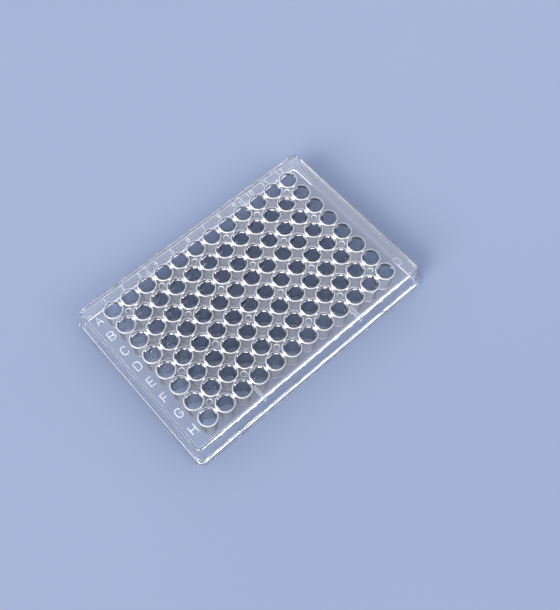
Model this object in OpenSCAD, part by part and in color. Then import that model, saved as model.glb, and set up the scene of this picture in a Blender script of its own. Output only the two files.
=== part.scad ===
// Flat-bottomed well plate: a grid of open wells moulded in one piece of clear polystyrene.
// It stands on the open edge of its hollow foot at z = 0 and is centred on the origin.
// Column 1 lies at -X and row A lies at +Y.

/* [Foot] */
// Length of the foot, the widest part of the plate
plate_l = 127.76; // [122:0.02:140]
// Width of the foot
plate_w = 85.48; // [82:0.02:95]
// Height from the table to the top of the rim and the well rings
plate_h = 14.35; // [13.5:0.05:18]
// Height of the foot
foot_h = 2.5; // [2:0.1:4]
// Radius of the foot's upright corners
foot_r = 3.6; // [2.5:0.1:5]
// Width of the ledge that the foot leaves around the skirt
ledge = 1.33; // [0.8:0.01:1.8]
// Length of the lowered middle of the ledge on each short side
grip_l = 57.4; // [40:0.2:70]
// Drop of the lowered middle of the ledge
grip_drop = 0.6; // [0.2:0.05:0.8]
// Width of the four gate notches in the long sides of the foot
notch_w = 2; // [1:0.1:3]
// Depth of the gate notches
notch_depth = 0.5; // [0.2:0.05:0.8]

/* [Skirt] */
// Thickness of the skirt and of the foot
wall = 1.2; // [1:0.05:1.5]
// How far each skirt wall leans in between the ledge and the rim
skirt_lean = 0.75; // [0.2:0.05:1.2]
// Radius of the skirt's upright corners at the rim
skirt_r = 2.7; // [2:0.1:4]

/* [Rim and deck] */
// Width of the raised rim around the deck
rim_w = 1.35; // [1:0.05:2]
// Radius of the rim's inner corners
rim_r = 2; // [1:0.1:3]
// Height of the rim and the well rings above the deck
rim_rise = 0.6; // [0.3:0.05:1]
// Thickness of the deck
deck_t = 1.2; // [0.8:0.05:1.8]
// Diameter of the round moulding marks between the wells
mark_d = 2.6; // [1.5:0.1:3]
// Depth of the round moulding marks
mark_depth = 0.25; // [0.1:0.05:0.5]

/* [Wells] */
// Number of columns, along X
columns = 12; // [6:2:12]
// Number of rows, along Y
rows = 8; // [4:2:8]
// Distance between well centres
pitch = 9; // [8.9:0.05:9.2]
// Diameter of a well at its mouth
well_d = 6.86; // [6:0.02:7]
// Diameter of a well at its floor
well_floor_d = 6.4; // [5.5:0.02:6.8]
// Depth of a well from its ring to its floor
well_depth = 10.9; // [9:0.1:11.2]
// Radius-like chamfer where a well's wall meets its floor
well_corner = 0.3; // [0.1:0.05:0.6]
// Thickness of a well's flat floor
floor_t = 1.2; // [0.8:0.05:1.5]
// Thickness of a well's wall just under the deck
tube_t = 0.55; // [0.4:0.05:0.7]
// Width of the ring around a well's mouth
ring_w = 0.85; // [0.7:0.01:0.9]
// Chamfer on both edges of a ring
ring_edge = 0.22; // [0.1:0.02:0.3]

/* [Bridges and ribs] */
// Width of the bridges that join neighbouring rings
bridge_w = 1.2; // [0.6:0.05:1.6]
// Drop of the bridges below the top of the rings
bridge_drop = 0.2; // [0.05:0.05:0.4]
// Depth of the ribs below the deck, from the outer rows to the long walls
rib_depth = 3.1; // [1:0.1:5]
// Thickness of the ribs
rib_t = 0.8; // [0.5:0.05:1.2]
// Number of columns between a rib and the nearest short side
rib_columns = 3; // [1:1:5]

/* [Lettering] */
// Height of the row letters, centre line to centre line
letter_h = 3.9; // [2.4:0.3:4.5]
// Stroke width of the row letters
letter_stroke = 0.5; // [0.3:0.05:0.7]
// Height of the column numbers, centre line to centre line
number_h = 2.1; // [1.2:0.3:2.1]
// Stroke width of the column numbers
number_stroke = 0.3; // [0.2:0.05:0.4]
// Height of the lettering above the deck
letter_rise = 0.2; // [0.1:0.05:0.3]

/* [Hidden] */
$fn = 48;
PLASTIC = [0.90, 0.93, 0.97, 0.6];
GRID_W = 4; // width of a letter's drawing grid
GRID_H = 6; // height of a letter's drawing grid
GRID_GAP = 2; // space between two letters on the grid
OVER = 1; // how far a cut runs past the surface that it opens
BITE = 0.2; // how far raised work is rooted in the surface under it

deck_z = plate_h - rim_rise;
under_deck_z = deck_z - deck_t;
ring_root_z = deck_z - deck_t / 2;
well_floor_z = plate_h - well_depth;
tube_bottom_z = well_floor_z - floor_t;
ring_r = well_d / 2 + ring_w;
tube_r = bore_r(under_deck_z) + tube_t;
skirt_slope = skirt_lean / (plate_h - foot_h);
skirt_floor_z = foot_h - wall;
rim_inner_l = skirt_side(plate_l, plate_h) - 2 * rim_w;
rim_inner_w = skirt_side(plate_w, plate_h) - 2 * rim_w;
letter_x = (rim_inner_l / 2 + column_x(columns - 1) + ring_r) / 2;
number_y = (rim_inner_w / 2 + row_y(0) + ring_r) / 2;

// Outside length or width of the skirt at height z, from the foot's own length or width
function skirt_side(side, z) = side - 2 * ledge - 2 * skirt_slope * (z - foot_h);

// Outside corner radius of the skirt at height z
function skirt_corner(z) = skirt_r + skirt_slope * (plate_h - z);

// Bore radius of a well at height z
function bore_r(z) = (well_floor_d + (well_d - well_floor_d) * (z - well_floor_z) / well_depth) / 2;

function column_x(column) = (column - (columns - 1) / 2) * pitch;
function row_y(row) = ((rows - 1) / 2 - row) * pitch;

// A block standing on z = 0 with round upright corners. Its sides lean in by lean on the way up.
module block(l, w, r, h, lean = 0) {
    for (side = [[l, w, 0], [w, l, 90]])
        rotate([90, 0, 90 + side[2]])
            linear_extrude(side[0] - 2 * r, center = true)
                polygon([[-side[1] / 2, 0], [side[1] / 2, 0], [side[1] / 2 - lean, h], [-side[1] / 2 + lean, h]]);
    for (corner = [[1, 1, 0], [-1, 1, 90], [-1, -1, 180], [1, -1, 270]])
        translate([corner[0] * (l / 2 - r), corner[1] * (w / 2 - r), 0])
            rotate([0, 0, corner[2]])
                rotate_extrude(angle = 90)
                    polygon([[0, 0], [r, 0], [r - lean, h], [0, h]]);
}

// The skirt's own shape between two heights, drawn in by inset all round
module skirt_block(z_low, z_high, inset) {
    translate([0, 0, z_low])
        block(
            skirt_side(plate_l, z_low) - 2 * inset,
            skirt_side(plate_w, z_low) - 2 * inset,
            skirt_corner(z_low) - inset,
            z_high - z_low,
            skirt_slope * (z_high - z_low)
        );
}

// Solid foot and skirt, before they are hollowed
module outer_form() {
    block(plate_l, plate_w, foot_r, foot_h);
    skirt_block(foot_h, plate_h, 0);
}

// The hollow under the deck and the shallow tray inside the rim
module hollows() {
    translate([0, 0, -OVER])
        block(plate_l - 2 * wall, plate_w - 2 * wall, foot_r - wall, skirt_floor_z + OVER);
    skirt_block(skirt_floor_z - BITE, under_deck_z, wall);
    translate([0, 0, deck_z])
        block(rim_inner_l, rim_inner_w, rim_r, rim_rise + OVER);
}

// The lowered middle of the ledge on both short sides
module grip_cuts() {
    reach = ledge + OVER;
    for (side = [-1, 1])
        translate([side * (skirt_side(plate_l, foot_h) + reach) / 2, 0, foot_h])
            cube([reach, grip_l, 2 * grip_drop], center = true);
}

// Gate notches in the foot, in line with the second column from each end
module gate_notches() {
    for (x = [column_x(1), column_x(columns - 2)], side = [-1, 1])
        translate([x, side * (plate_w / 2 + notch_w / 2 - notch_depth), -OVER])
            cylinder(h = foot_h + 2 * OVER, d = notch_w);
}

// One round mark between four wells, sunk in the deck
module moulding_marks() {
    for (column = [0 : 2 : columns - 2], row = [0 : 2 : rows - 2])
        translate([column_x(column + 0.5), row_y(row + 0.5), deck_z - mark_depth])
            cylinder(h = mark_depth + OVER, d = mark_d);
}

// Repeats its child at every well
module at_each_well() {
    for (column = [0 : columns - 1], row = [0 : rows - 1])
        translate([column_x(column), row_y(row), 0])
            children();
}

// One well's tube and ring as a solid, before it is bored
module tube() {
    rotate_extrude()
        polygon([
            [0, tube_bottom_z],
            [tube_r, tube_bottom_z],
            [tube_r, ring_root_z],
            [ring_r, ring_root_z],
            [ring_r, plate_h - ring_edge],
            [ring_r - ring_edge, plate_h],
            [0, plate_h]
        ]);
}

// The space inside one well, open at the top
module bore() {
    mouth_r = bore_r(plate_h - ring_edge);
    rotate_extrude()
        polygon([
            [0, well_floor_z],
            [bore_r(well_floor_z) - well_corner, well_floor_z],
            [bore_r(well_floor_z + well_corner), well_floor_z + well_corner],
            [mouth_r, plate_h - ring_edge],
            [mouth_r + ring_edge, plate_h],
            [mouth_r + ring_edge, plate_h + OVER],
            [0, plate_h + OVER]
        ]);
}

// Bridges along every row and every column, which join neighbouring rings
module bridges() {
    bridge_h = plate_h - bridge_drop - ring_root_z;
    for (row = [0 : rows - 1])
        translate([column_x(0), row_y(row) - bridge_w / 2, ring_root_z])
            cube([column_x(columns - 1) - column_x(0), bridge_w, bridge_h]);
    for (column = [0 : columns - 1])
        translate([column_x(column) - bridge_w / 2, row_y(rows - 1), ring_root_z])
            cube([bridge_w, row_y(0) - row_y(rows - 1), bridge_h]);
}

// Ribs under the deck from beside the outer rows' wells to the long walls
module ribs() {
    rib_z = under_deck_z - rib_depth;
    rib_y = row_y(0) + tube_r / 2;
    wall_y = skirt_side(plate_w, rib_z) / 2 - wall / 2;
    for (x = [column_x(rib_columns - 0.5), column_x(columns - rib_columns - 0.5)], side = [0, 1])
        mirror([0, side, 0])
            translate([x - rib_t / 2, rib_y, rib_z])
                cube([rib_t, wall_y - rib_y, rib_depth + BITE]);
}

// A straight stroke between two points, rooted in the surface at z = 0
module line_stroke(from, to, stroke, rise) {
    run = to - from;
    translate([from[0], from[1], -BITE])
        rotate([0, 0, atan2(run[1], run[0])])
            translate([0, -stroke / 2, 0])
                cube([norm(run), stroke, rise + BITE]);
}

// A round stroke about a centre, from one angle to another
module arc_stroke(centre, r, from, to, stroke, rise) {
    translate([centre[0], centre[1], -BITE])
        rotate([0, 0, from])
            rotate_extrude(angle = to - from)
                translate([r - stroke / 2, 0])
                    square([stroke, rise + BITE]);
}

// Straight strokes of a letter on the grid, each [x, y, x, y]. A stroke that makes a corner runs on by e.
function letter_lines(letter, e) =
    letter == "A" ? [[0, 0, 2, 6], [4, 0, 2, 6], [0.7, 2, 3.3, 2]] :
    letter == "B" ? [[0, -e, 0, 6 + e], [0, 0, 2.5, 0], [0, 3, 2.5, 3], [0, 6, 2.5, 6]] :
    letter == "C" ? [[0, 2, 0, 4]] :
    letter == "D" ? [[0, -e, 0, 6 + e], [0, 0, 2, 0], [0, 6, 2, 6], [4, 2, 4, 4]] :
    letter == "E" ? [[0, -e, 0, 6 + e], [0, 0, 3.6, 0], [0, 3, 3.2, 3], [0, 6, 3.6, 6]] :
    letter == "F" ? [[0, -e, 0, 6 + e], [0, 3, 3.2, 3], [0, 6, 3.6, 6]] :
    letter == "G" ? [[0, 2, 0, 4], [4, 2, 4, 2.8 + e], [2.2, 2.8, 4, 2.8]] :
    letter == "H" ? [[0, -e, 0, 6 + e], [4, -e, 4, 6 + e], [0, 3, 4, 3]] :
    letter == "0" ? [[0, 2, 0, 4], [4, 2, 4, 4]] :
    letter == "1" ? [[2, -e, 2, 6 + e], [2, 6, 0.8, 4.8]] :
    letter == "2" ? [[3.7, 3, 0, 0], [-e, 0, 4, 0]] :
    letter == "4" ? [[3, -e, 3, 6 + e], [3, 6, 0, 2], [-e, 2, 4, 2]] :
    letter == "5" ? [[0.7, 6, 3.7, 6], [0.7, 6 + e, 0.7, 3.5]] :
    letter == "6" ? [[0.2, 2.8, 2.2, 6]] :
    letter == "7" ? [[0, 6, 4 + e, 6], [4, 6, 1.4, 0]] :
    letter == "9" ? [[3.8, 3.2, 1.8, 0]] :
    [];

// Round strokes of a letter on the grid, each [centre x, centre y, radius, first angle, last angle].
// An end that another stroke meets flush is the first angle.
function letter_arcs(letter) =
    letter == "B" ? [[2.5, 1.5, 1.5, -90, 90], [2.5, 4.5, 1.5, -90, 90]] :
    letter == "C" ? [[2, 4, 2, 180, 20], [2, 2, 2, 180, 340]] :
    letter == "D" ? [[2, 4, 2, 0, 90], [2, 2, 2, -90, 0]] :
    letter == "G" ? [[2, 4, 2, 180, 20], [2, 2, 2, 180, 360]] :
    letter == "0" ? [[2, 4, 2, 0, 180], [2, 2, 2, 180, 360]] :
    letter == "2" ? [[2, 4, 2, -30, 160]] :
    letter == "3" ? [[2, 4.5, 1.5, -90, 150], [2, 1.5, 1.5, 90, -150]] :
    letter == "5" ? [[2, 2, 2, -150, 130]] :
    letter == "6" ? [[2, 2, 2, 0, 360]] :
    letter == "8" ? [[2, 4.5, 1.5, 0, 360], [2, 1.5, 1.5, 0, 360]] :
    letter == "9" ? [[2, 4, 2, 0, 360]] :
    [];

// A word of raised letters centred on the origin, h high between centre lines
module word(letters, h, stroke) {
    unit = h / GRID_H;
    count = len(letters);
    start_x = -(count * GRID_W + (count - 1) * GRID_GAP) / 2;
    for (i = [0 : count - 1]) {
        corner = [start_x + i * (GRID_W + GRID_GAP), -GRID_H / 2];
        for (line = letter_lines(letters[i], stroke / unit / 2))
            line_stroke(
                ([line[0], line[1]] + corner) * unit,
                ([line[2], line[3]] + corner) * unit,
                stroke,
                letter_rise
            );
        for (arc = letter_arcs(letters[i]))
            arc_stroke(([arc[0], arc[1]] + corner) * unit, arc[2] * unit, arc[3], arc[4], stroke, letter_rise);
    }
}

// Row letters at -X, column numbers at +Y, and a plain round-ended mark beside the last well
module lettering() {
    row_letters = "ABCDEFGH";
    for (row = [0 : rows - 1])
        translate([-letter_x, row_y(row), deck_z])
            word(row_letters[row], letter_h, letter_stroke);
    for (column = [0 : columns - 1])
        translate([column_x(column), number_y, deck_z])
            word(str(column + 1), number_h, number_stroke);
    translate([letter_x, row_y(rows - 1), deck_z])
        word("0", letter_h, number_stroke);
}

// The whole plate, one moulding
module plate() {
    color(PLASTIC)
        difference() {
            union() {
                difference() {
                    outer_form();
                    hollows();
                    grip_cuts();
                    gate_notches();
                }
                at_each_well() tube();
                bridges();
                ribs();
                lettering();
            }
            at_each_well() bore();
            moulding_marks();
        }
}

plate();
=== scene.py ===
"""Dresses the well plate: one clear polystyrene moulding, a pale floor, studio light and a camera."""

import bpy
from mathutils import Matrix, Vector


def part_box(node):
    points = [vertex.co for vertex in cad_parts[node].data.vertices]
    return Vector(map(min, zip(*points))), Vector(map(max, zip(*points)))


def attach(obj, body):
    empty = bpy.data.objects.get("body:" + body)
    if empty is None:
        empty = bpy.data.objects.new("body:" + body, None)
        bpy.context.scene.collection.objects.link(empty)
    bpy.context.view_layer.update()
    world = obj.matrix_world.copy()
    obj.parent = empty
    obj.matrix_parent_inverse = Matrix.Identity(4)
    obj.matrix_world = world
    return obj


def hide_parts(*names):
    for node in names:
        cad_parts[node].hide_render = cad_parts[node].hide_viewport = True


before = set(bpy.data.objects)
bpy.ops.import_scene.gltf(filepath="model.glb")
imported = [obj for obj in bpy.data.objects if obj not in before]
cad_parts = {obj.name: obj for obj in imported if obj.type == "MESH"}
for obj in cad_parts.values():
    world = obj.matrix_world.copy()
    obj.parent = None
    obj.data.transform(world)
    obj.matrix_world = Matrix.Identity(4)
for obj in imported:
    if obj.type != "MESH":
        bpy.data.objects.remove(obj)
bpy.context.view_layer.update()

import logging
import math
from collections.abc import Callable, Sequence
from dataclasses import dataclass, replace
from enum import Enum

import bmesh
import bpy
from mathutils import Vector

LOG = logging.getLogger("well_plate")
BODY = "root"
NODE = "plate"
MM = 0.001
HAIR = 0.01  # mm, the slack when faces are picked by their place
SPECK = 0.002  # mm, corners closer than this are merged
SPREAD = 50  # mm between the outlines of a loft while they are bridged
PROUD = 1  # mm, how far a cutter runs on past what it cuts

Point = tuple[float, float]
Triple = tuple[float, float, float]
Colour = tuple[float, float, float, float]


class Join(Enum):
    """How one solid is worked into another."""

    ADD = "UNION"
    CUT = "DIFFERENCE"


class Zone(Enum):
    """The finishes of the plate, as material slots: three that the mould leaves, and two milky ones that
    paint highlights on the ring beads, bridges, ribs, mark edges and ring joints.
    """

    MOULDED = 0
    POLISHED = 1
    FROSTED = 2
    ROUNDED = 3
    JOINED = 4


@dataclass(frozen=True)
class Ring:
    """One level of a turned solid, in mm."""

    radius: float
    z: float


@dataclass(frozen=True)
class Outline:
    """One level of a solid with a round-cornered plan, in mm."""

    length: float
    width: float
    radius: float
    z: float

    def holds(self, point: Vector) -> bool:
        """Whether a point lies on this outline.

        Args:
            point: The point, in metres.

        Returns:
            True if it lies on the outline.
        """
        x = abs(point.x) / MM - self.length / 2 + self.radius
        y = abs(point.y) / MM - self.width / 2 + self.radius
        away = math.hypot(max(x, 0), max(y, 0)) + min(max(x, y), 0) - self.radius
        return max(abs(away), abs(point.z / MM - self.z)) < HAIR


class Bench:
    """The modelling tools, used the way they are by hand."""

    @staticmethod
    def deselect() -> None:
        """Leaves nothing selected."""
        for piece in bpy.context.selected_objects:
            piece.select_set(False)

    @staticmethod
    def take(piece: bpy.types.Object) -> None:
        """Makes a piece the only selected and active one.

        Args:
            piece: The piece to work on.
        """
        Bench.deselect()
        piece.select_set(True)
        bpy.context.view_layer.objects.active = piece

    @staticmethod
    def edit(select: str = "DESELECT") -> None:
        """Enters edit mode in face mode.

        Args:
            select: What happens to the selection there.
        """
        bpy.ops.object.mode_set(mode="EDIT")
        bpy.ops.mesh.select_mode(type="FACE")
        bpy.ops.mesh.select_all(action=select)

    @staticmethod
    def leave() -> None:
        """Goes back to object mode."""
        bpy.ops.object.mode_set(mode="OBJECT")

    @staticmethod
    def pick(test: Callable[[bmesh.types.BMFace], bool]) -> None:
        """Selects the faces of the edited mesh that pass a test, and no others.

        Args:
            test: Says whether a face is picked.
        """
        mesh = bpy.context.edit_object.data
        work = bmesh.from_edit_mesh(mesh)
        for face in work.faces:
            face.select_set(False)
        for face in work.faces:
            if test(face):
                face.select_set(True)
        bmesh.update_edit_mesh(mesh)

    @staticmethod
    def apply(piece: bpy.types.Object) -> None:
        """Applies every modifier of a piece, in order.

        Args:
            piece: The piece whose modifiers are applied.
        """
        Bench.take(piece)
        for modifier in list(piece.modifiers):
            bpy.ops.object.modifier_apply(modifier=modifier.name)

    @staticmethod
    def soften(piece: bpy.types.Object, width: float, segments: int, angle: float = 30) -> None:
        """Rounds the sharp edges of a piece.

        Args:
            piece: The piece to round.
            width: Width of the rounding, in mm.
            segments: Number of faces across the rounding.
            angle: Smallest angle that counts as sharp, in degrees.
        """
        modifier = piece.modifiers.new("soften", "BEVEL")
        modifier.width = width * MM
        modifier.segments = segments
        modifier.limit_method = "ANGLE"
        modifier.angle_limit = math.radians(angle)
        modifier.miter_outer = "MITER_ARC"
        Bench.apply(piece)

    @staticmethod
    def repeat(piece: bpy.types.Object, counts: tuple[int, int], steps: Point) -> None:
        """Lines up copies of a piece along X and then along Y, in its own mesh.

        Args:
            piece: The piece to repeat.
            counts: Number of copies along X and along Y, the first one included.
            steps: From one copy to the next along X and along Y, in mm.
        """
        for count, step in zip(counts, ((steps[0], 0, 0), (0, steps[1], 0))):
            modifier = piece.modifiers.new("repeat", "ARRAY")
            modifier.count = count
            modifier.use_relative_offset = False
            modifier.use_constant_offset = True
            modifier.constant_offset_displace = Vector(step) * MM
            Bench.apply(piece)

    @staticmethod
    def slit(piece: bpy.types.Object, places: Sequence[tuple[Vector, Vector]]) -> None:
        """Cuts the faces of a piece along planes, and leaves it whole.

        Args:
            piece: The piece.
            places: A point in mm and a direction for each plane.
        """
        Bench.take(piece)
        for point, direction in places:
            Bench.edit("SELECT")
            bpy.ops.mesh.bisect(plane_co=point * MM, plane_no=direction)
            Bench.leave()

    @staticmethod
    def work(base: bpy.types.Object, tool: bpy.types.Object, join: Join) -> None:
        """Adds a solid to a base or cuts it out of it, and throws the tool away.

        Args:
            base: The piece that stays.
            tool: The piece that is added or cut out.
            join: Whether it is added or cut out.
        """
        modifier = base.modifiers.new("work", "BOOLEAN")
        modifier.solver = "MANIFOLD"
        modifier.operation = join.value
        modifier.object = tool
        Bench.apply(base)
        bpy.data.objects.remove(tool)

    @staticmethod
    def clean(piece: bpy.types.Object) -> None:
        """Merges the corners that the working left almost on top of each other.

        Args:
            piece: The piece.
        """
        Bench.take(piece)
        Bench.edit("SELECT")
        bpy.ops.mesh.remove_doubles(threshold=SPECK * MM)
        Bench.leave()

    @staticmethod
    def weld(pieces: Sequence[bpy.types.Object]) -> bpy.types.Object:
        """Adds a row of solids into one, each to the last.

        Args:
            pieces: The solids, which may overlap.

        Returns:
            The first of them, which now holds them all.
        """
        base, *others = pieces
        for other in others:
            Bench.work(base, other, Join.ADD)
        return base

    @staticmethod
    def gather(pieces: Sequence[bpy.types.Object]) -> bpy.types.Object:
        """Puts the meshes of several pieces into one, as they stand.

        Args:
            pieces: The pieces.

        Returns:
            The first of them, which now holds them all.
        """
        Bench.deselect()
        for piece in pieces:
            piece.select_set(True)
        bpy.context.view_layer.objects.active = pieces[0]
        bpy.ops.object.join()
        return pieces[0]

    @staticmethod
    def turned(name: str, rings: Sequence[Ring], segments: int, at: Point) -> bpy.types.Object:
        """Models a solid of revolution: a cone for its first band, then its top pulled up band by band.

        Args:
            name: Name of the piece.
            rings: The solid's levels from the bottom up.
            segments: Number of sides.
            at: Where its axis stands, in mm.

        Returns:
            The closed solid.
        """
        low, high, *upper = rings
        Bench.deselect()
        bpy.ops.mesh.primitive_cone_add(
            vertices=segments,
            radius1=low.radius * MM,
            radius2=high.radius * MM,
            depth=(high.z - low.z) * MM,
            location=(at[0] * MM, at[1] * MM, (low.z + high.z) / 2 * MM),
        )
        piece = bpy.context.object
        piece.name = name
        bpy.ops.object.transform_apply(location=True, rotation=False, scale=False)
        Bench.edit()
        top = (high.z - HAIR) * MM
        Bench.pick(lambda face: all(v.co.z > top for v in face.verts))
        last = high
        for ring in upper:
            rise = (ring.z - last.z) * MM
            grow = ring.radius / last.radius
            bpy.ops.mesh.extrude_region_move(TRANSFORM_OT_translate={"value": (0, 0, rise)})
            bpy.ops.transform.resize(
                value=(grow, grow, 1), center_override=(at[0] * MM, at[1] * MM, ring.z * MM)
            )
            last = ring
        Bench.leave()
        return piece

    @staticmethod
    def block(name: str, size: Triple, at: Triple) -> bpy.types.Object:
        """Models a plain block, to be softened or worked in.

        Args:
            name: Name of the piece.
            size: Its sides, in mm.
            at: Its middle, in mm.

        Returns:
            The closed solid.
        """
        Bench.deselect()
        bpy.ops.mesh.primitive_cube_add(size=MM, location=Vector(at) * MM)
        piece = bpy.context.object
        piece.name = name
        Bench.edit("SELECT")
        bpy.ops.transform.resize(value=size, center_override=Vector(at) * MM)
        Bench.leave()
        bpy.ops.object.transform_apply(location=True, rotation=False, scale=False)
        return piece

    @staticmethod
    def lofted(name: str, outlines: Sequence[Outline], segments: int) -> bpy.types.Object:
        """Models a solid that runs through round-cornered outlines.

        They are bridged one to the next while they are stacked well apart, and then moved to their
        own heights.

        Args:
            name: Name of the piece.
            outlines: The outlines, in the order in which the surface runs through them.
            segments: Number of edges round each corner.

        Returns:
            The closed solid, with the first and the last outline filled.
        """
        apart = [replace(outline, z=SPREAD * (place + 1)) for place, outline in enumerate(outlines)]
        loops = []
        for outline in apart:
            Bench.deselect()
            bpy.ops.mesh.primitive_plane_add(size=MM, location=(0, 0, 0))
            loop = bpy.context.object
            Bench.edit("SELECT")
            bpy.ops.transform.resize(value=(outline.length, outline.width, 1))
            bpy.ops.mesh.bevel(
                offset_type="OFFSET", offset=outline.radius * MM, segments=segments, affect="VERTICES"
            )
            bpy.ops.transform.translate(value=(0, 0, outline.z * MM))
            bpy.ops.mesh.delete(type="ONLY_FACE")
            Bench.leave()
            loops.append(loop)
        piece = Bench.gather(loops)
        piece.name = name
        Bench.edit()
        bpy.ops.mesh.select_mode(type="VERT")
        for pair in zip(apart, apart[1:]):
            Bench.pick_loops(pair)
            bpy.ops.mesh.bridge_edge_loops()
        for end in (apart[0], apart[-1]):
            Bench.pick_loops([end])
            bpy.ops.mesh.edge_face_add()
        for placed, outline in zip(apart, outlines):
            Bench.pick_loops([placed])
            bpy.ops.transform.translate(value=(0, 0, (outline.z - placed.z) * MM))
        bpy.ops.mesh.select_all(action="SELECT")
        bpy.ops.mesh.normals_make_consistent(inside=False)
        Bench.leave()
        return piece

    @staticmethod
    def pick_loops(outlines: Sequence[Outline]) -> None:
        """Selects the vertices of the edited mesh that lie on some outlines, and no others.

        Args:
            outlines: The outlines.
        """
        mesh = bpy.context.edit_object.data
        bpy.ops.mesh.select_all(action="DESELECT")
        work = bmesh.from_edit_mesh(mesh)
        for vertex in work.verts:
            vertex.select_set(any(outline.holds(vertex.co) for outline in outlines))
        work.select_flush(True)
        bmesh.update_edit_mesh(mesh)


@dataclass(frozen=True)
class Well:
    """One well, in mm."""

    mouth: float = 6.86
    floor: float = 6.4
    depth: float = 10.9
    floor_thick: float = 1.2
    wall: float = 0.55
    corner: float = 0.3
    ring: float = 0.85
    ring_edge: float = 0.4
    ring_steps: int = 4
    lip: float = 0.12
    lip_steps: int = 2
    sides: int = 48
    corner_steps: int = 2

    @property
    def outer(self) -> float:
        """Outside radius of the ring around the mouth."""
        return self.mouth / 2 + self.ring


@dataclass(frozen=True)
class Plate:
    """The plate's own sizes, in mm, as the moulding's solid has them."""

    length: float
    width: float
    height: float
    foot: float = 2.5
    foot_corner: float = 3.6
    ledge: float = 1.33
    wall: float = 1.2
    lean: float = 0.75
    skirt_corner: float = 2.7
    rim: float = 1.35
    rim_corner: float = 2.0
    rim_rise: float = 0.6
    deck: float = 1.2
    columns: int = 12
    rows: int = 8
    pitch: float = 9.0

    @staticmethod
    def framed() -> "Plate":
        """Takes the outside size from the frame.

        Returns:
            The plate as long, wide and high as its node, to a hundredth of a mm.
        """
        low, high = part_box(NODE)
        return Plate(*(round((far - near) / MM, 2) for near, far in zip(low, high)))

    @property
    def deck_z(self) -> float:
        """Height of the deck's top."""
        return self.height - self.rim_rise

    @property
    def slope(self) -> float:
        """How far the skirt leans in for each mm of height."""
        return self.lean / (self.height - self.foot)

    @property
    def deck_half(self) -> Point:
        """Half the length and half the width of the deck inside the rim."""
        return tuple(self.skirt(side, self.height) / 2 - self.rim for side in (self.length, self.width))

    def skirt(self, side: float, z: float) -> float:
        """The skirt's outside length or width at a height, from the foot's own."""
        return side - 2 * self.ledge - 2 * self.slope * (z - self.foot)

    def corner(self, z: float) -> float:
        """The skirt's outside corner radius at a height."""
        return self.skirt_corner + self.slope * (self.height - z)

    def column_x(self, column: float) -> float:
        """Where a column stands along X, by its number from 0, or a half between two of them."""
        return (column - (self.columns - 1) / 2) * self.pitch

    def row_y(self, row: float) -> float:
        """Where a row stands along Y, by its number from 0, or a half between two of them."""
        return ((self.rows - 1) / 2 - row) * self.pitch


@dataclass
class Shell:
    """Foot, skirt, rim and deck: the open box that the wells hang in."""

    plate: Plate
    edge: float = 0.2
    edge_steps: int = 2
    corner_steps: int = 10
    grip_length: float = 57.4
    grip_drop: float = 0.6
    notch_width: float = 2.0
    notch_depth: float = 0.5
    notch_sides: int = 32

    def build(self) -> bpy.types.Object:
        """Models the shell.

        Returns:
            The closed shell.
        """
        shell = Bench.lofted("shell", self.outlines(), self.corner_steps)
        Bench.soften(shell, self.edge, self.edge_steps)
        Bench.work(shell, self.grips(), Join.CUT)
        Bench.work(shell, self.notches(), Join.CUT)
        p = self.plate
        across = [(Vector((p.column_x(n), 0, 0)), Vector((1, 0, 0))) for n in range(p.columns)]
        along = [(Vector((0, p.row_y(n), 0)), Vector((0, 1, 0))) for n in range(p.rows)]
        Bench.slit(shell, across + along)
        return shell

    def outlines(self) -> list[Outline]:
        """The shell's section, from under the deck, round the foot and over the rim to the deck's top.

        Returns:
            The outlines in that order.
        """
        p = self.plate
        under = p.deck_z - p.deck
        step = p.foot - p.wall

        def foot(inset: float, z: float) -> Outline:
            """The foot's outline at a height, moved in by some mm."""
            return Outline(p.length - 2 * inset, p.width - 2 * inset, p.foot_corner - inset, z)

        def skirt(inset: float, z: float) -> Outline:
            """The skirt's outline at a height, moved in by some mm."""
            length, width = (p.skirt(side, z) - 2 * inset for side in (p.length, p.width))
            return Outline(length, width, p.corner(z) - inset, z)

        def rim(z: float) -> Outline:
            """The rim's inside outline at a height."""
            return replace(skirt(p.rim, p.height), radius=p.rim_corner, z=z)

        return [
            skirt(p.wall, under),
            skirt(p.wall, step),
            foot(p.wall, step),
            foot(p.wall, 0),
            foot(0, 0),
            foot(0, p.foot),
            skirt(0, p.foot),
            skirt(0, p.height),
            rim(p.height),
            rim(p.deck_z),
        ]

    def grips(self) -> bpy.types.Object:
        """The two cuts that lower the middle of the ledge on the short sides.

        Returns:
            Both cutters as one solid.
        """
        p = self.plate
        inside = p.skirt(p.length, p.foot) / 2
        reach = p.ledge + PROUD
        cutter = Bench.block(
            "grips", (reach, self.grip_length, 2 * self.grip_drop), (-inside - reach / 2, 0, p.foot)
        )
        Bench.soften(cutter, self.edge, self.edge_steps)
        Bench.repeat(cutter, (2, 1), (2 * inside + reach, 0))
        return cutter

    def notches(self) -> bpy.types.Object:
        """The four gate notches in the long sides, in line with the second column from each end.

        Returns:
            All four cutters as one solid.
        """
        p = self.plate
        y = p.width / 2 + self.notch_width / 2 - self.notch_depth
        low, high = p.column_x(1), p.column_x(p.columns - 2)
        rings = [Ring(self.notch_width / 2, z) for z in (-PROUD, p.foot + PROUD)]
        cutter = Bench.turned("notches", rings, self.notch_sides, (low, -y))
        Bench.repeat(cutter, (2, 2), (high - low, 2 * y))
        return cutter


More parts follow.
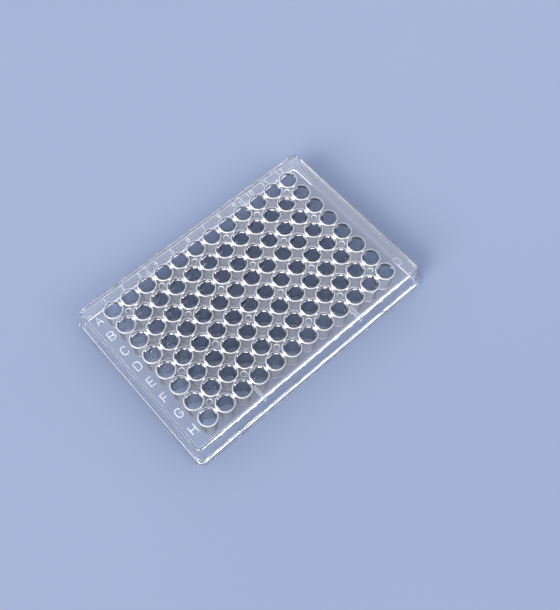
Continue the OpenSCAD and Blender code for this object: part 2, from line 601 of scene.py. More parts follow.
@dataclass
class WellGrid:
    """The tubes, their bores, the bridges between their rings, and the ribs under the deck."""

    plate: Plate
    well: Well
    bridge: float = 1.2
    bridge_drop: float = 0.2
    bridge_edge: float = 0.5
    bridge_steps: int = 4
    rib: float = 0.8
    rib_depth: float = 3.1
    rib_columns: int = 3
    edge: float = 0.15

    @property
    def root_z(self) -> float:
        """Height inside the deck at which rings and bridges are rooted."""
        return self.plate.deck_z - self.plate.deck / 2

    @property
    def tube_r(self) -> float:
        """Outside radius of a tube."""
        return self.bore(self.plate.deck_z - self.plate.deck) + self.well.wall

    def bore(self, z: float) -> float:
        """A well's bore radius at a height.

        Args:
            z: The height.

        Returns:
            The radius there.
        """
        w = self.well
        floor_z = self.plate.height - w.depth
        return (w.floor + (w.mouth - w.floor) * (z - floor_z) / w.depth) / 2

    def tubes(self) -> bpy.types.Object:
        """Every well's tube and ring, not yet bored.

        Returns:
            All of them as one solid.
        """
        p, w = self.plate, self.well
        bottom_z = p.height - w.depth - w.floor_thick
        top = [
            Ring(
                w.outer - w.ring_edge * (1 - math.cos(turn)),
                p.height - w.ring_edge * (1 - math.sin(turn)),
            )
            for turn in self.quarter(w.ring_steps)
        ]
        rings = [
            Ring(self.tube_r - self.edge, bottom_z),
            Ring(self.tube_r, bottom_z + self.edge),
            Ring(self.tube_r, self.root_z),
            Ring(w.outer, self.root_z + HAIR),
            *top,
        ]
        return self.everywhere("tubes", rings)

    def bores(self) -> bpy.types.Object:
        """The space inside every well.

        Returns:
            All of them as one solid.
        """
        p, w = self.plate, self.well
        floor_z = p.height - w.depth
        lip_z = p.height - w.lip
        floor = [
            Ring(
                self.bore(floor_z + w.corner) - w.corner * (1 - math.sin(turn)),
                floor_z + w.corner * (1 - math.cos(turn)),
            )
            for turn in self.quarter(w.corner_steps)
        ]
        mouth = [
            Ring(
                self.bore(lip_z) + w.lip * (1 - math.cos(turn)),
                lip_z + w.lip * math.sin(turn),
            )
            for turn in self.quarter(w.lip_steps)
        ]
        wide = self.bore(lip_z) + w.lip
        return self.everywhere("bores", [*floor, *mouth, Ring(wide, p.height + PROUD)])

    @staticmethod
    def quarter(steps: int) -> list[float]:
        """The turns of a quarter round in so many steps, in radians, its two ends included."""
        return [math.pi / 2 * step / steps for step in range(steps + 1)]

    def everywhere(self, name: str, rings: Sequence[Ring]) -> bpy.types.Object:
        """Models one turned solid at the first well and repeats it over the grid.

        Args:
            name: Name of the piece.
            rings: The solid's levels from the bottom up.

        Returns:
            All of them as one solid.
        """
        p = self.plate
        piece = Bench.turned(name, rings, self.well.sides, (p.column_x(0), p.row_y(0)))
        Bench.repeat(piece, (p.columns, p.rows), (p.pitch, -p.pitch))
        return piece

    def bridges(self) -> list[bpy.types.Object]:
        """The bridges along every row and every column, which join neighbouring rings.

        Returns:
            The bridges of the rows as one solid and those of the columns as another.
        """
        p = self.plate
        height = p.height - self.bridge_drop - self.root_z
        z = self.root_z + height / 2
        left, right = p.column_x(0), p.column_x(p.columns - 1)
        back, front = p.row_y(0), p.row_y(p.rows - 1)
        bridges = []
        for name, size, at, counts in (
            ("row_bridges", (right - left, self.bridge, height), (0, back, z), (1, p.rows)),
            ("column_bridges", (self.bridge, back - front, height), (left, 0, z), (p.columns, 1)),
        ):
            bridge = Bench.block(name, size, at)
            Bench.soften(bridge, self.bridge_edge, self.bridge_steps)
            Bench.repeat(bridge, counts, (p.pitch, -p.pitch))
            bridges.append(bridge)
        return bridges

    def ribs(self) -> bpy.types.Object:
        """The four ribs under the deck, from beside the outer rows' wells to the long walls.

        Returns:
            All four as one solid.
        """
        p = self.plate
        low = p.deck_z - p.deck - self.rib_depth
        near = p.row_y(0) + self.tube_r / 2
        far = p.skirt(p.width, low) / 2 - p.wall / 2
        left = p.column_x(self.rib_columns - 0.5)
        y = -(near + far) / 2
        size = (self.rib, far - near, self.root_z - low)
        ribs = Bench.block("ribs", size, (left, y, (low + self.root_z) / 2))
        Bench.repeat(ribs, (2, 2), (-2 * left, -2 * y))
        return ribs


@dataclass
class Marks:
    """The round moulding marks sunk in every second pocket of the deck."""

    plate: Plate
    diameter: float = 2.6
    depth: float = 0.25
    edge: float = 0.08
    sides: int = 28

    def build(self) -> bpy.types.Object:
        """Models the cutters.

        Returns:
            All of them as one solid.
        """
        p = self.plate
        r, z = self.diameter / 2, p.deck_z
        rings = [
            Ring(r - self.edge, z - self.depth),
            Ring(r, z - self.depth + self.edge),
            Ring(r, z - self.edge),
            Ring(r + self.edge, z),
            Ring(r + self.edge, z + PROUD),
        ]
        cutter = Bench.turned("marks", rings, self.sides, (p.column_x(0.5), p.row_y(0.5)))
        Bench.repeat(cutter, (p.columns // 2, p.rows // 2), (2 * p.pitch, -2 * p.pitch))
        return cutter


Arc = tuple[float, float, float, float, float]

# The strokes of each letter on a grid 4 wide and 6 high. A point is (x, y), and an arc is
# (centre x, centre y, radius, from, to), with its turns in degrees.
STROKES: dict[str, list[list[Point | Arc]]] = {
    "A": [[(0, 0), (2, 6), (4, 0)], [(0.7, 2), (3.3, 2)]],
    "B": [[(2.5, 3), (2.5, 4.5, 1.5, -90, 90), (0, 6), (0, 0), (2.5, 1.5, 1.5, -90, 90), (0, 3)]],
    "C": [[(2, 4, 2, 20, 180), (2, 2, 2, 180, 340)]],
    "D": [[(0, 0), (2, 2, 2, -90, 0), (2, 4, 2, 0, 90), (0, 6), (0, 0)]],
    "E": [[(3.6, 6), (0, 6), (0, 0), (3.6, 0)], [(0, 3), (3.2, 3)]],
    "F": [[(3.6, 6), (0, 6), (0, 0)], [(0, 3), (3.2, 3)]],
    "G": [[(2, 4, 2, 20, 180), (2, 2, 2, 180, 360), (4, 2.8), (2.2, 2.8)]],
    "H": [[(0, 0), (0, 6)], [(4, 0), (4, 6)], [(0, 3), (4, 3)]],
    "0": [[(2, 4, 2, 0, 180), (2, 2, 2, 180, 360), (4, 4)]],
    "1": [[(0.8, 4.8), (2, 6), (2, 0)]],
    "2": [[(2, 4, 2, 160, -30), (0, 0), (4, 0)]],
    "3": [[(2, 4.5, 1.5, 150, -90), (2, 1.5, 1.5, 90, -150)]],
    "4": [[(3, 0), (3, 6), (0, 2), (4, 2)]],
    "5": [[(3.7, 6), (0.7, 6), (0.7, 3.5), (2, 2, 2, 130, -150)]],
    "6": [[(2.2, 6), (0.2, 2.8)], [(2, 2, 2, 0, 360)]],
    "7": [[(0, 6), (4, 6), (1.4, 0)]],
    "8": [[(2, 4.5, 1.5, 0, 360)], [(2, 1.5, 1.5, 0, 360)]],
    "9": [[(1.8, 0), (3.8, 3.2)], [(2, 4, 2, 0, 360)]],
}


@dataclass
class Lettering:
    """Raised row letters, column numbers and the plain round-ended mark beside the last well.

    The grid holds a letter's width and height and the gap to the next, in the units of its strokes.
    """

    plate: Plate
    well: Well
    letter_height: float = 3.9
    letter_stroke: float = 0.62
    number_height: float = 2.1
    number_stroke: float = 0.3
    rise: float = 0.2
    grid: Triple = (4, 6, 2)
    arc_step: float = 22.5

    def build(self) -> bpy.types.Object:
        """Models every letter.

        Returns:
            All of them as one solid.
        """
        p = self.plate
        half_x, half_y = p.deck_half
        side_x = (half_x + p.column_x(p.columns - 1) + self.well.outer) / 2
        side_y = (half_y + p.row_y(0) + self.well.outer) / 2
        large, small = (self.letter_height, self.letter_stroke), (self.number_height, self.number_stroke)
        words = [self.word("ABCDEFGH"[row], (-side_x, p.row_y(row)), *large) for row in range(p.rows)]
        words += [self.word(str(n + 1), (p.column_x(n), side_y), *small) for n in range(p.columns)]
        mark = (self.letter_height, self.number_stroke)
        words.append(self.word("0", (side_x, p.row_y(p.rows - 1)), *mark))
        return Bench.gather(words)

    def word(self, letters: str, at: Point, height: float, width: float) -> bpy.types.Object:
        """Models a word of one or two letters, centred on a place on the deck.

        Args:
            letters: The word.
            at: Its middle, in mm.
            height: Its height between the strokes' centre lines, in mm.
            width: Its strokes' width, in mm.

        Returns:
            The word as one closed solid.
        """
        wide, high, gap = self.grid
        unit = height / high
        left = -(len(letters) * wide + (len(letters) - 1) * gap) / 2
        solids = []
        for place, letter in enumerate(letters):
            shift = left + place * (wide + gap)
            for path in STROKES[letter]:
                points = [
                    (at[0] + (x + shift) * unit, at[1] + (y - high / 2) * unit) for x, y in self.run(path)
                ]
                solids.append(self.stroke(points, width))
        return Bench.weld(solids)

    def run(self, path: Sequence[Point | Arc]) -> list[Point]:
        """The points of a stroke on the grid, with its arcs stepped.

        Args:
            path: Points and arcs in order.

        Returns:
            The points, without repeats.
        """
        points: list[Point] = []
        for part in path:
            if len(part) == 2:
                stops = [part]
            else:
                x, y, r, start, end = part
                steps = max(2, round(abs(end - start) / self.arc_step))
                turns = [math.radians(start + (end - start) * i / steps) for i in range(steps + 1)]
                stops = [(x + r * math.cos(turn), y + r * math.sin(turn)) for turn in turns]
            points += [stop for stop in stops if not points or math.dist(points[-1], stop) > HAIR]
        return points

    def stroke(self, points: list[Point], width: float) -> bpy.types.Object:
        """Models one stroke from a curve with a round section, sunk in the deck up to its rise.

        Args:
            points: The stroke's centre line, in mm.
            width: The stroke's width, in mm.

        Returns:
            The closed stroke.
        """
        closed = math.dist(points[0], points[-1]) < HAIR
        if closed:
            points = points[:-1]
        line = bpy.data.curves.new("stroke", "CURVE")
        line.dimensions = "3D"
        line.bevel_depth = width / 2 * MM
        line.bevel_resolution = 1
        line.use_fill_caps = True
        spline = line.splines.new("POLY")
        spline.points.add(len(points) - 1)
        z = self.plate.deck_z + self.rise - width / 2
        for knot, (x, y) in zip(spline.points, points):
            knot.co = (x * MM, y * MM, z * MM, 1)
        spline.use_cyclic_u = closed
        piece = bpy.data.objects.new("stroke", line)
        bpy.context.collection.objects.link(piece)
        Bench.take(piece)
        bpy.ops.object.convert(target="MESH")
        piece = bpy.context.object
        Bench.edit("SELECT")
        bpy.ops.mesh.remove_doubles(threshold=HAIR * MM)
        bpy.ops.mesh.normals_make_consistent(inside=False)
        Bench.leave()
        return piece


class Wiring:
    """Places and joins the nodes of one shader tree."""

    def __init__(self, tree: bpy.types.NodeTree) -> None:
        """Takes the tree that the nodes go into."""
        self.tree = tree

    @staticmethod
    def fresh(owner: bpy.types.Material | bpy.types.World) -> "Wiring":
        """Starts the shader tree of a new material or of the world, with no nodes in it.

        Args:
            owner: The material or the world.

        Returns:
            Its wiring.
        """
        owner.use_nodes = True
        owner.node_tree.nodes.clear()
        return Wiring(owner.node_tree)

    def node(
        self, kind: str, inputs: dict[str | int, object] | None = None, **settings: object
    ) -> bpy.types.Node:
        """Adds a node.

        Args:
            kind: Blender's name for the kind of node.
            inputs: What each input takes: a value, or another node's output.
            settings: The node's own settings.

        Returns:
            The node.
        """
        node = self.tree.nodes.new(kind)
        for name, value in settings.items():
            setattr(node, name, value)
        for key, value in (inputs or {}).items():
            if isinstance(value, bpy.types.NodeSocket):
                self.tree.links.new(value, node.inputs[key])
            else:
                node.inputs[key].default_value = value
        return node

    def math(self, operation: str, *values: object, clamp: bool = False) -> bpy.types.NodeSocket:
        """Works out a value from numbers or outputs, kept between 0 and 1 if it is clamped."""
        inputs = dict(enumerate(values))
        return self.node("ShaderNodeMath", inputs, operation=operation, use_clamp=clamp).outputs[0]

    def between(self, value: object, low: object, high: object) -> bpy.types.NodeSocket:
        """Runs from one value to another as a mask goes from 0 to 1."""
        inputs = {"Value": value, "To Min": low, "To Max": high}
        return self.node("ShaderNodeMapRange", inputs).outputs[0]

    def blend(self, mask: object, first: Colour, second: Colour) -> bpy.types.NodeSocket:
        """Runs from one colour to another as a mask goes from 0 to 1."""
        inputs = {0: mask, 6: first, 7: second}  # 6 and 7 are the node's two colours
        return self.node("ShaderNodeMix", inputs, data_type="RGBA").outputs[2]

    def ramp(self, value: object, band: Point) -> bpy.types.NodeSocket:
        """Turns a pattern into a soft mask, 0 at the first end of a band of values and 1 at the other."""
        inputs = {"Value": value, "From Min": band[0], "From Max": band[1]}
        return self.node("ShaderNodeMapRange", inputs, interpolation_type="SMOOTHSTEP").outputs[0]

    def noise(self, place: object, scale: object, detail: float) -> bpy.types.NodeSocket:
        """Adds a noise pattern of about 0 to 1, by its waves a metre and the number of finer layers."""
        inputs = {"Vector": place, "Scale": scale, "Detail": detail}
        return self.node("ShaderNodeTexNoise", inputs).outputs[0]

    def facing(self, direction: object, towards: Triple) -> bpy.types.NodeSocket:
        """Measures how far a direction points one way, as the cosine of the angle between them."""
        way = {0: direction, 1: Vector(towards).normalized()}
        return self.node("ShaderNodeVectorMath", way, operation="DOT_PRODUCT").outputs["Value"]

    def turned(self, place: object, degrees: float, stretch: Triple) -> bpy.types.NodeSocket:
        """Turns the place that a pattern reads about Z, and makes the pattern finer along each axis."""
        inputs = {"Vector": place, "Rotation": (0, 0, math.radians(degrees)), "Scale": stretch}
        return self.node("ShaderNodeMapping", inputs).outputs[0]

    def bump(
        self, height: object, rise: float, strength: float = 1, under: object = None
    ) -> bpy.types.NodeSocket:
        """Raises a surface by a pattern.

        Args:
            height: The pattern.
            rise: The height that a pattern of 1 stands for, in mm.
            strength: How much of it is felt, from 0 to 1.
            under: The normal of a bump that lies under it, if there is one.

        Returns:
            The new normal.
        """
        inputs = {"Height": height, "Strength": strength, "Distance": rise * MM}
        if under is not None:
            inputs["Normal"] = under
        return self.node("ShaderNodeBump", inputs).outputs[0]


@dataclass
class Effects:
    """The surface effects that the finishes share, each built once as a node group.

    Turns are in degrees, bands are the part of a pattern that becomes a mask, and a stretch is how
    many times finer a pattern gets along each axis.
    """

    flow_turn: float = 8
    flow_stretch: Triple = (1, 0.35, 1)
    scratch_turns: tuple[float, ...] = (17, 74, 131)
    scratch_stretch: Triple = (1, 0.04, 0.3)
    scratch_band: Point = (0.68, 0.74)
    smudge_band: Point = (0.5, 0.72)

    def __post_init__(self) -> None:
        """Builds the groups."""
        self.flow = self.melt_flow()
        self.wear = self.handling()

    @staticmethod
    def group(
        name: str, inputs: dict[str, float], outputs: Sequence[str]
    ) -> tuple[Wiring, bpy.types.NodeOutputs, bpy.types.Node]:
        """Starts a node group that takes a place and some numbers.

        Args:
            name: The group's name.
            inputs: The numbers that it takes, with the values that they have if nothing is set.
            outputs: The names of its outputs, all of them numbers.

        Returns:
            Its wiring, its inputs' sockets and its output node.
        """
        tree = bpy.data.node_groups.new(name, "ShaderNodeTree")
        tree.interface.new_socket("Place", in_out="INPUT", socket_type="NodeSocketVector")
        for label, value in inputs.items():
            given = tree.interface.new_socket(label, in_out="INPUT", socket_type="NodeSocketFloat")
            given.default_value = value
        for label in outputs:
            tree.interface.new_socket(label, in_out="OUTPUT", socket_type="NodeSocketFloat")
        wiring = Wiring(tree)
        return wiring, wiring.node("NodeGroupInput").outputs, wiring.node("NodeGroupOutput")

    def melt_flow(self) -> bpy.types.NodeTree:
        """The faint waves that the melt leaves as it runs from the long sides and sets.

        Returns:
            A group that puts out a height.
        """
        inputs = {"Waves": 60, "Ripples": 400, "Share": 0.2}
        wiring, given, out = self.group("melt_flow", inputs, ["Height"])
        drawn = wiring.turned(given["Place"], self.flow_turn, self.flow_stretch)
        slow = wiring.noise(drawn, given["Waves"], 1)
        fine = wiring.noise(drawn, given["Ripples"], 2)
        wiring.tree.links.new(wiring.between(given["Share"], slow, fine), out.inputs["Height"])
        return wiring.tree

    def handling(self) -> bpy.types.NodeTree:
        """Fine scratches, smudges and dust from handling.

        Returns:
            A group that puts out a roughness, a height and a mask of the worn places.
        """
        inputs = {"Scratches": 500, "Smudges": 70, "Clean": 0.02, "Dull": 0.1, "Amount": 0.5}
        wiring, given, out = self.group("handling", inputs, ["Roughness", "Height", "Worn"])
        lines = None
        for degrees in self.scratch_turns:
            drawn = wiring.turned(given["Place"], degrees, self.scratch_stretch)
            line = wiring.ramp(wiring.noise(drawn, given["Scratches"], 1), self.scratch_band)
            lines = line if lines is None else wiring.math("MAXIMUM", lines, line)
        smudge = wiring.ramp(wiring.noise(given["Place"], given["Smudges"], 4), self.smudge_band)
        marks = wiring.math("MAXIMUM", lines, smudge)
        worn = wiring.math("MULTIPLY", marks, given["Amount"], clamp=True)
        for label, value in (
            ("Roughness", wiring.between(worn, given["Clean"], given["Dull"])),
            ("Height", wiring.math("MULTIPLY", lines, -1)),
            ("Worn", worn),
        ):
            wiring.tree.links.new(value, out.inputs[label])
        return wiring.tree


@dataclass(frozen=True)
class Styrene:
    """A finish of the clear polystyrene.

    Clean and dull are its roughness where it is untouched and where it is worn, and wear is how much of
    the wear shows. Waves and ripples are the melt's, in waves a metre, and share is the ripples' share
    of the two. Lit and dimmed are the light that it lets through to the floor, straight on and at a
    glancing angle.
    """

    name: str
    clean: float
    dull: float
    wear: float
    waves: float
    ripples: float
    share: float
    wave_height: float
    scratch_height: float
    clarity: float
    tint: Colour = (0.985, 0.99, 1.0, 1)
    worn_tint: Colour = (0.94, 0.955, 0.975, 1)
    index: float = 1.59
    lit: Colour = (0.98, 0.985, 0.99, 1)
    dimmed: Colour = (0.5, 0.53, 0.58, 1)

    def make(self, effects: Effects) -> bpy.types.Material:
        """Builds the finish as a material.

        Args:
            effects: The shared node groups.

        Returns:
            The material.
        """
        material = bpy.data.materials.new(self.name)
        wiring = Wiring.fresh(material)
        place = wiring.node("ShaderNodeTexCoord").outputs["Object"]
        flow = wiring.node(
            "ShaderNodeGroup",
            {"Place": place, "Waves": self.waves, "Ripples": self.ripples, "Share": self.share},
            node_tree=effects.flow,
        ).outputs
        wear = wiring.node(
            "ShaderNodeGroup",
            {"Place": place, "Clean": self.clean, "Dull": self.dull, "Amount": self.wear},
            node_tree=effects.wear,
        ).outputs
        waves = wiring.bump(flow["Height"], self.wave_height)
        body = wiring.node(
            "ShaderNodeBsdfPrincipled",
            {
                "Base Color": wiring.blend(wear["Worn"], self.tint, self.worn_tint),
                "Roughness": wear["Roughness"],
                "IOR": self.index,
                "Transmission Weight": self.clarity,
                "Normal": wiring.bump(wear["Height"], self.scratch_height, under=waves),
            },
        )
        glance = wiring.node("ShaderNodeFresnel", {"IOR": self.index}).outputs[0]
        passed = wiring.blend(glance, self.lit, self.dimmed)
        clear = wiring.node("ShaderNodeBsdfTransparent", {"Color": passed})
        path = wiring.node("ShaderNodeLightPath").outputs
        lamp_ray = wiring.math("MAXIMUM", path["Is Shadow Ray"], path["Is Diffuse Ray"])
        mixed = wiring.node("ShaderNodeMixShader", {0: lamp_ray, 1: body.outputs[0], 2: clear.outputs[0]})
        wiring.node("ShaderNodeOutputMaterial", {"Surface": mixed.outputs[0]})
        return material


@dataclass(frozen=True)
class Matte:
    """The studio floor's finish: two near colours that drift, in waves a metre, and a fine grain."""

    name: str
    colour: Colour
    shade: Colour
    roughness: float
    drift: float = 3
    drift_band: Point = (0.3, 0.7)
    grain: float = 900
    grain_height: float = 0.1
    grain_strength: float = 0.1

    def make(self) -> bpy.types.Material:
        """Builds the finish as a material.

        Returns:
            The material.
        """
        material = bpy.data.materials.new(self.name)
        wiring = Wiring.fresh(material)
        place = wiring.node("ShaderNodeTexCoord").outputs["Object"]
        drift = wiring.ramp(wiring.noise(place, self.drift, 2), self.drift_band)
        grain = wiring.noise(place, self.grain, 3)
        body = wiring.node(
            "ShaderNodeBsdfPrincipled",
            {
                "Base Color": wiring.blend(drift, self.colour, self.shade),
                "Roughness": self.roughness,
                "Specular IOR Level": 0,
                "Normal": wiring.bump(grain, self.grain_height, self.grain_strength),
            },
        )
        wiring.node("ShaderNodeOutputMaterial", {"Surface": body.outputs[0]})
        return material


@dataclass
class Dressing:
    """Dresses the finished moulding: smooth shading, its finishes and its place in the frame.

    A bead is the round outer edge of a ring: it starts so many mm outside the mouth and reaches so many
    mm under the top. A joint reaches so many mm along and across a row from the middle between two wells.
    Tilted and facing are limits for the Z of a face's normal: under the first it is tilted, and over the
    second it faces up.
    """

    plate: Plate
    well: Well
    smooth: float = 35
    moulded: Styrene = Styrene(
        "moulded_styrene", clean=0.04, dull=0.08, wear=0.5, waves=45, ripples=260, share=0.15,
        wave_height=0.0008, scratch_height=0.0005, clarity=0.987,
    )
    polished: Styrene = Styrene(
        "polished_styrene", clean=0, dull=0.025, wear=0.4, waves=90, ripples=500, share=0.1,
        wave_height=0.0005, scratch_height=0.0005, clarity=1,
    )
    frosted: Styrene = Styrene(
        "frosted_styrene", clean=0.35, dull=0.5, wear=1, waves=300, ripples=1500, share=0.5,
        wave_height=0.02, scratch_height=0.002, clarity=0.8,
    )
    # Painted highlight: a clarity well below 1 makes this finish partly milky white, which stands in for
    # the light that ring beads, bridges, ribs and mark edges catch.
    painted_highlight: Styrene = Styrene(
        "painted_highlight_styrene", clean=0.3, dull=0.42, wear=1, waves=160, ripples=900, share=0.4,
        wave_height=0.008, scratch_height=0.001, clarity=0.78,
    )
    # Painted highlight: a clarity of 0.3 makes this finish mostly milky white, standing in for the
    # highlight where two rings of a row meet.
    painted_joint_highlight: Styrene = replace(painted_highlight, name="painted_joint_highlight_styrene", clean=0.25, dull=0.4, clarity=0.3)
    bead: Point = (0.35, 0.5)
    joint: Point = (1.3, 1.1)
    tilted: float = 0.95
    facing: float = 0.5

    def dress(self, piece: bpy.types.Object) -> None:
        """Shades the moulding and gives each zone its finish.

        Args:
            piece: The moulding.
        """
        Bench.take(piece)
        bpy.ops.object.shade_smooth_by_angle(angle=math.radians(self.smooth))
        modifier = piece.modifiers.new("weigh", "WEIGHTED_NORMAL")
        modifier.mode = "FACE_AREA_WITH_ANGLE"
        modifier.keep_sharp = True
        Bench.apply(piece)
        effects = Effects()
        piece.data.materials.clear()
        for finish in (self.moulded, self.polished, self.frosted, self.painted_highlight, self.painted_joint_highlight):
            piece.data.materials.append(finish.make(effects))
        Bench.edit()
        zones = (
            (Zone.POLISHED, self.in_well),
            (Zone.FROSTED, self.on_letter),
            # Painted highlight: the milky finish goes on the beads, bridges, ribs and mark edges.
            (Zone.ROUNDED, self.on_bead),
            # Painted highlight: the whiter milky finish goes where two rings of a row meet.
            (Zone.JOINED, self.on_joint),
        )
        for zone, belongs in zones:
            Bench.pick(belongs)
            piece.active_material_index = zone.value
            bpy.ops.object.material_slot_assign()
        Bench.leave()
        piece.name = "moulded_plate"
        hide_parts(NODE)
        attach(piece, BODY)

    def offset(self, middle: Vector) -> Point:
        """Measures how far a place is along X and Y from the middle of the nearest well's place.

        Args:
            middle: The place, in mm.

        Returns:
            Both distances, which may be below 0.
        """
        p = self.plate
        half = p.pitch / 2
        x = (middle.x - p.column_x(0) + half) % p.pitch - half
        y = (middle.y - p.row_y(0) + half) % p.pitch - half
        return x, y

    def from_well(self, middle: Vector) -> float | None:
        """Measures how far a place is from the middle of the well around it, seen from above.

        Args:
            middle: The place, in mm.

        Returns:
            The distance, or None outside the wells and their rings.
        """
        p = self.plate
        reach = self.well.outer + HAIR
        if max(abs(middle.x) + p.column_x(0), abs(middle.y) - p.row_y(0)) > reach:
            return None
        distance = math.hypot(*self.offset(middle))
        return distance if distance < reach else None

    def in_well(self, face: bmesh.types.BMFace) -> bool:
        """Whether a face belongs to a well's ring, bore or floor.

        Args:
            face: The face.

        Returns:
            True if it lies above the deck and inside a ring's outer edge, or inside a well's mouth and
            not below the well's floor.
        """
        p, w = self.plate, self.well
        middle = face.calc_center_median() / MM
        distance = self.from_well(middle)
        if distance is None or middle.z < p.height - w.depth - HAIR:
            return False
        return middle.z > p.deck_z + HAIR or distance < w.mouth / 2 + HAIR

    # Picks the faces that get the milky finish, a painted highlight.
    def on_bead(self, face: bmesh.types.BMFace) -> bool:
        """Whether a face belongs to a ring's bead, a bridge, a rib's underside or a mark's edge.

        Args:
            face: The face.

        Returns:
            True if it stands near a ring's top and well outside the mouth, above the deck between the
            rings, tilted in the deck between the wells, or faces down under the deck's long margins.
        """
        p, w = self.plate, self.well
        middle = face.calc_center_median() / MM
        distance = self.from_well(middle)
        if distance is not None:
            inset, drop = self.bead
            return distance > w.mouth / 2 + inset and middle.z > p.height - drop
        if abs(middle.x) >= -p.column_x(0):
            return False
        if abs(middle.y) > p.row_y(0) + w.outer:
            under = p.foot < middle.z < p.deck_z - p.deck - HAIR
            return under and face.normal.z < -self.facing
        edge = middle.z > p.deck_z - p.deck / 2 and abs(face.normal.z) < self.tilted
        return abs(middle.y) < p.row_y(0) and (middle.z > p.deck_z + HAIR or edge)

    # Picks the faces that get the whiter milky finish, a painted highlight at the ring joints.
    def on_joint(self, face: bmesh.types.BMFace) -> bool:
        """Whether a face belongs to the place where two rings of a row and their bridge run together.

        Args:
            face: The face.

        Returns:
            True if it stands above the deck, close to the middle between two wells of a row.
        """
        p = self.plate
        middle = face.calc_center_median() / MM
        if middle.z < p.deck_z + HAIR or abs(middle.x) > -p.column_x(0):
            return False
        if abs(middle.y) > p.row_y(0) + p.pitch / 2:
            return False
        x, y = self.offset(middle)
        along, across = self.joint
        return p.pitch / 2 - abs(x) < along and abs(y) < across

    def on_letter(self, face: bmesh.types.BMFace) -> bool:
        """Whether a face belongs to the lettering.

        Args:
            face: The face.

        Returns:
            True if it stands just above the deck, in the margin between the wells and the rim. Of the
            mark past the last column, only the upright faces count.
        """
        p = self.plate
        middle = face.calc_center_median() / MM
        if not HAIR < middle.z - p.deck_z < p.rim_rise / 2:
            return False
        x, y = abs(middle.x), abs(middle.y)
        half_x, half_y = p.deck_half
        at_end = x > self.well.outer - p.column_x(0)
        at_side = y > self.well.outer + p.row_y(0)
        faint = at_end and middle.x > 0 and face.normal.z > self.facing
        return (at_end or at_side) and x < half_x and y < half_y and not faint


@dataclass(frozen=True)
class Lamp:
    """A wide, soft lamp, so far away that it lights the floor evenly, and not mirrored in any gloss."""

    name: str
    towards: Triple
    strength: float
    spread: float

    def stand(self) -> None:
        """Puts the lamp up."""
        light = bpy.data.lights.new(self.name, "SUN")
        light.energy = self.strength
        light.angle = math.radians(self.spread)
        piece = bpy.data.objects.new(self.name, light)
        piece.location = Vector(self.towards).normalized()
        piece.rotation_euler = Vector(self.towards).to_track_quat("Z", "Y").to_euler()
        piece.visible_glossy = False
        bpy.context.collection.objects.link(piece)


@dataclass(frozen=True)
class Surroundings:
    """The soft light from all round: pale walls, a dim ceiling and one glow high up behind the plate.

    The walls fade in over one band of height, which is 0 at the floor and 1 overhead, and out over
    another. The glow fades in between two angles from its middle.
    """

    tint: Colour = (0.93, 0.93, 1.0, 1)
    walls: float = 2.4
    ceiling: float = 0.5
    glow: float = 0.8
    glow_towards: Triple = (0.46, 0.50, 0.74)
    glow_degrees: Point = (32, 6)
    walls_from: Point = (0.2, 0.42)
    walls_to: Point = (0.55, 0.8)
    behind: Colour = (0.72, 0.77, 0.85, 1)

    def surround(self) -> None:
        """Makes the scene's world."""
        world = bpy.data.worlds.new("soft_surroundings")
        wiring = Wiring.fresh(world)
        towards = wiring.node("ShaderNodeTexCoord").outputs["Generated"]
        height = wiring.node("ShaderNodeSeparateXYZ", {"Vector": towards}).outputs["Z"]
        low, high = (wiring.ramp(height, band) for band in (self.walls_from, self.walls_to))
        walls = wiring.math("MULTIPLY", wiring.math("SUBTRACT", low, high, clamp=True), self.walls)
        edges = [math.cos(math.radians(degrees)) for degrees in self.glow_degrees]
        spot = wiring.ramp(wiring.facing(towards, self.glow_towards), edges)
        glow = wiring.math("MULTIPLY", spot, self.glow)
        strength = wiring.math("ADD", wiring.math("ADD", walls, glow), self.ceiling)
        light = wiring.node("ShaderNodeBackground", {"Color": self.tint, "Strength": strength})
        plain = wiring.node("ShaderNodeBackground", {"Color": self.behind})
        seen = wiring.node("ShaderNodeLightPath").outputs["Is Camera Ray"]
        mixed = wiring.node("ShaderNodeMixShader", {0: seen, 1: light.outputs[0], 2: plain.outputs[0]})
        wiring.node("ShaderNodeOutputWorld", {"Surface": mixed.outputs[0]})
        bpy.context.scene.world = world


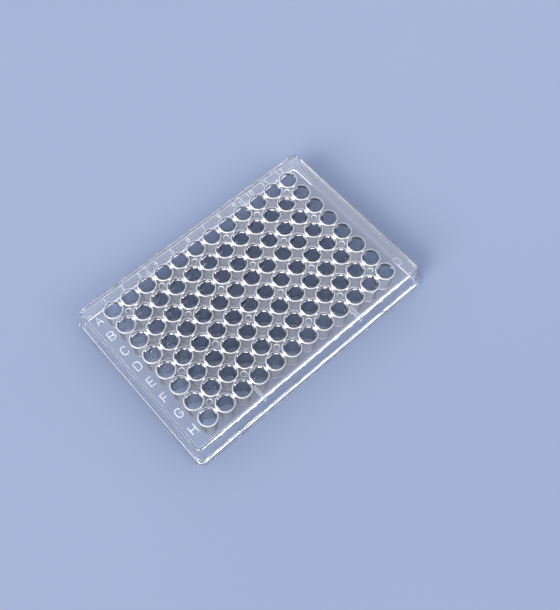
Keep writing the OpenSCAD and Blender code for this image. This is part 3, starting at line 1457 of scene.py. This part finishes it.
@dataclass
class Studio:
    """The floor, the lamps, the soft surroundings and the camera.

    The floor's sizes are in mm. Where the camera stands, what it aims at and how near it sees are in
    metres.
    """

    floor_z: float = -0.1
    floor_sides: int = 64
    floor_smooth: float = 40
    sweep: tuple[Ring, ...] = (
        Ring(3000, 0), Ring(3400, 60), Ring(3700, 200), Ring(3900, 450), Ring(4000, 900)
    )
    floor_finish: Matte = Matte(
        "studio_floor", colour=(0.128, 0.154, 0.222, 1), shade=(0.121, 0.147, 0.214, 1), roughness=0.7
    )
    surroundings: Surroundings = Surroundings()
    lamps: tuple[Lamp, ...] = (
        Lamp("side_lamp", towards=(-0.85, -0.12, 0.5), strength=8.5, spread=32),
        Lamp("front_lamp", towards=(0.2, -0.72, 0.5), strength=2, spread=32),
    )
    eye: Triple = (-0.0971, -0.1285, 0.3333)
    aim: Triple = (0.0070, -0.0110, 0.0070)
    lens: float = 49.34
    near: float = 0.01

    def build(self) -> None:
        """Puts up the whole studio."""
        self.lay_floor()
        for lamp in self.lamps:
            lamp.stand()
        self.surroundings.surround()
        bpy.context.scene.view_settings.view_transform = "Standard"
        self.aim_camera()

    def lay_floor(self) -> None:
        """Models the floor, which rises in a soft sweep far from the plate."""
        Bench.deselect()
        bpy.ops.mesh.primitive_circle_add(
            vertices=self.floor_sides,
            radius=self.sweep[0].radius * MM,
            fill_type="NGON",
            location=(0, 0, self.floor_z * MM),
        )
        floor = bpy.context.object
        floor.name = "studio_floor"
        bpy.ops.object.transform_apply(location=True, rotation=False, scale=False)
        bpy.ops.object.mode_set(mode="EDIT")
        bpy.ops.mesh.select_mode(type="EDGE")
        bpy.ops.mesh.select_all(action="SELECT")
        bpy.ops.mesh.region_to_loop()
        for low, high in zip(self.sweep, self.sweep[1:]):
            rise = (high.z - low.z) * MM
            grow = high.radius / low.radius
            bpy.ops.mesh.extrude_edges_move(TRANSFORM_OT_translate={"value": (0, 0, rise)})
            bpy.ops.transform.resize(value=(grow, grow, 1), center_override=(0, 0, 0))
        Bench.leave()
        bpy.ops.object.shade_smooth_by_angle(angle=math.radians(self.floor_smooth))
        floor.data.materials.append(self.floor_finish.make())

    def aim_camera(self) -> None:
        """Sets the camera up, high above and beyond the corner of row H and column 1."""
        camera = bpy.data.objects.new("camera", bpy.data.cameras.new("camera"))
        camera.data.lens = self.lens
        camera.data.clip_start = self.near
        camera.location = self.eye
        camera.rotation_euler = (Vector(self.eye) - Vector(self.aim)).to_track_quat("Z", "Y").to_euler()
        bpy.context.collection.objects.link(camera)
        bpy.context.scene.camera = camera


def main() -> None:
    """Builds the plate, its finishes and the studio, in order."""
    logging.basicConfig(level=logging.INFO, format="%(message)s")
    plate, well = Plate.framed(), Well()
    piece = Shell(plate).build()
    LOG.info("shell: %d faces", len(piece.data.polygons))
    grid = WellGrid(plate, well)
    for added in (grid.tubes(), *grid.bridges(), grid.ribs(), Lettering(plate, well).build()):
        LOG.info("adding %s", added.name)
        Bench.work(piece, added, Join.ADD)
    Bench.work(piece, grid.bores(), Join.CUT)
    Bench.work(piece, Marks(plate).build(), Join.CUT)
    Bench.clean(piece)
    Dressing(plate, well).dress(piece)
    piece.data.calc_loop_triangles()
    LOG.info("moulding: %d faces, %d triangles", len(piece.data.polygons), len(piece.data.loop_triangles))
    Studio().build()
    LOG.info("studio: floor, lamps, surroundings and camera")


if __name__ == "__main__":
    main()
